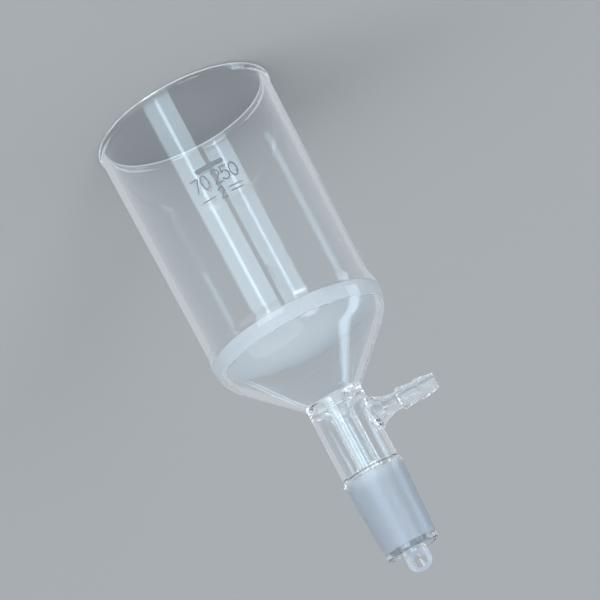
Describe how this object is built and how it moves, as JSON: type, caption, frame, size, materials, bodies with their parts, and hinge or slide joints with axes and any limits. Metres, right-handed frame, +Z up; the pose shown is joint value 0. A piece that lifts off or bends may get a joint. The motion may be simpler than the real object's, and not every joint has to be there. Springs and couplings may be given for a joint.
{
  "type": "fritted glass filter funnel",
  "caption": "Clear glass filter funnel with a sintered disc across its bowl, a vacuum side arm and a ground cone joint round its drip tube.",
  "frame": {"origin": "on the ground, at the centre of the bowl's rim, with the funnel turned over to stand on that rim", "axes": "+Z runs up the funnel's axis from the rim to the drip tip, and +X is the side of the side arm"},
  "size_m": [0.0748, 0.0748, 0.2004],
  "materials": {
    "clear_glass": "clear and fire-polished, ground and frosted on the cone joint",
    "sintered_glass": "sintered, granular, white"
  },
  "bodies": {
    "root": {"glass_body": "clear_glass", "fritted_disc": "sintered_glass"}
  },
  "joints": []
}
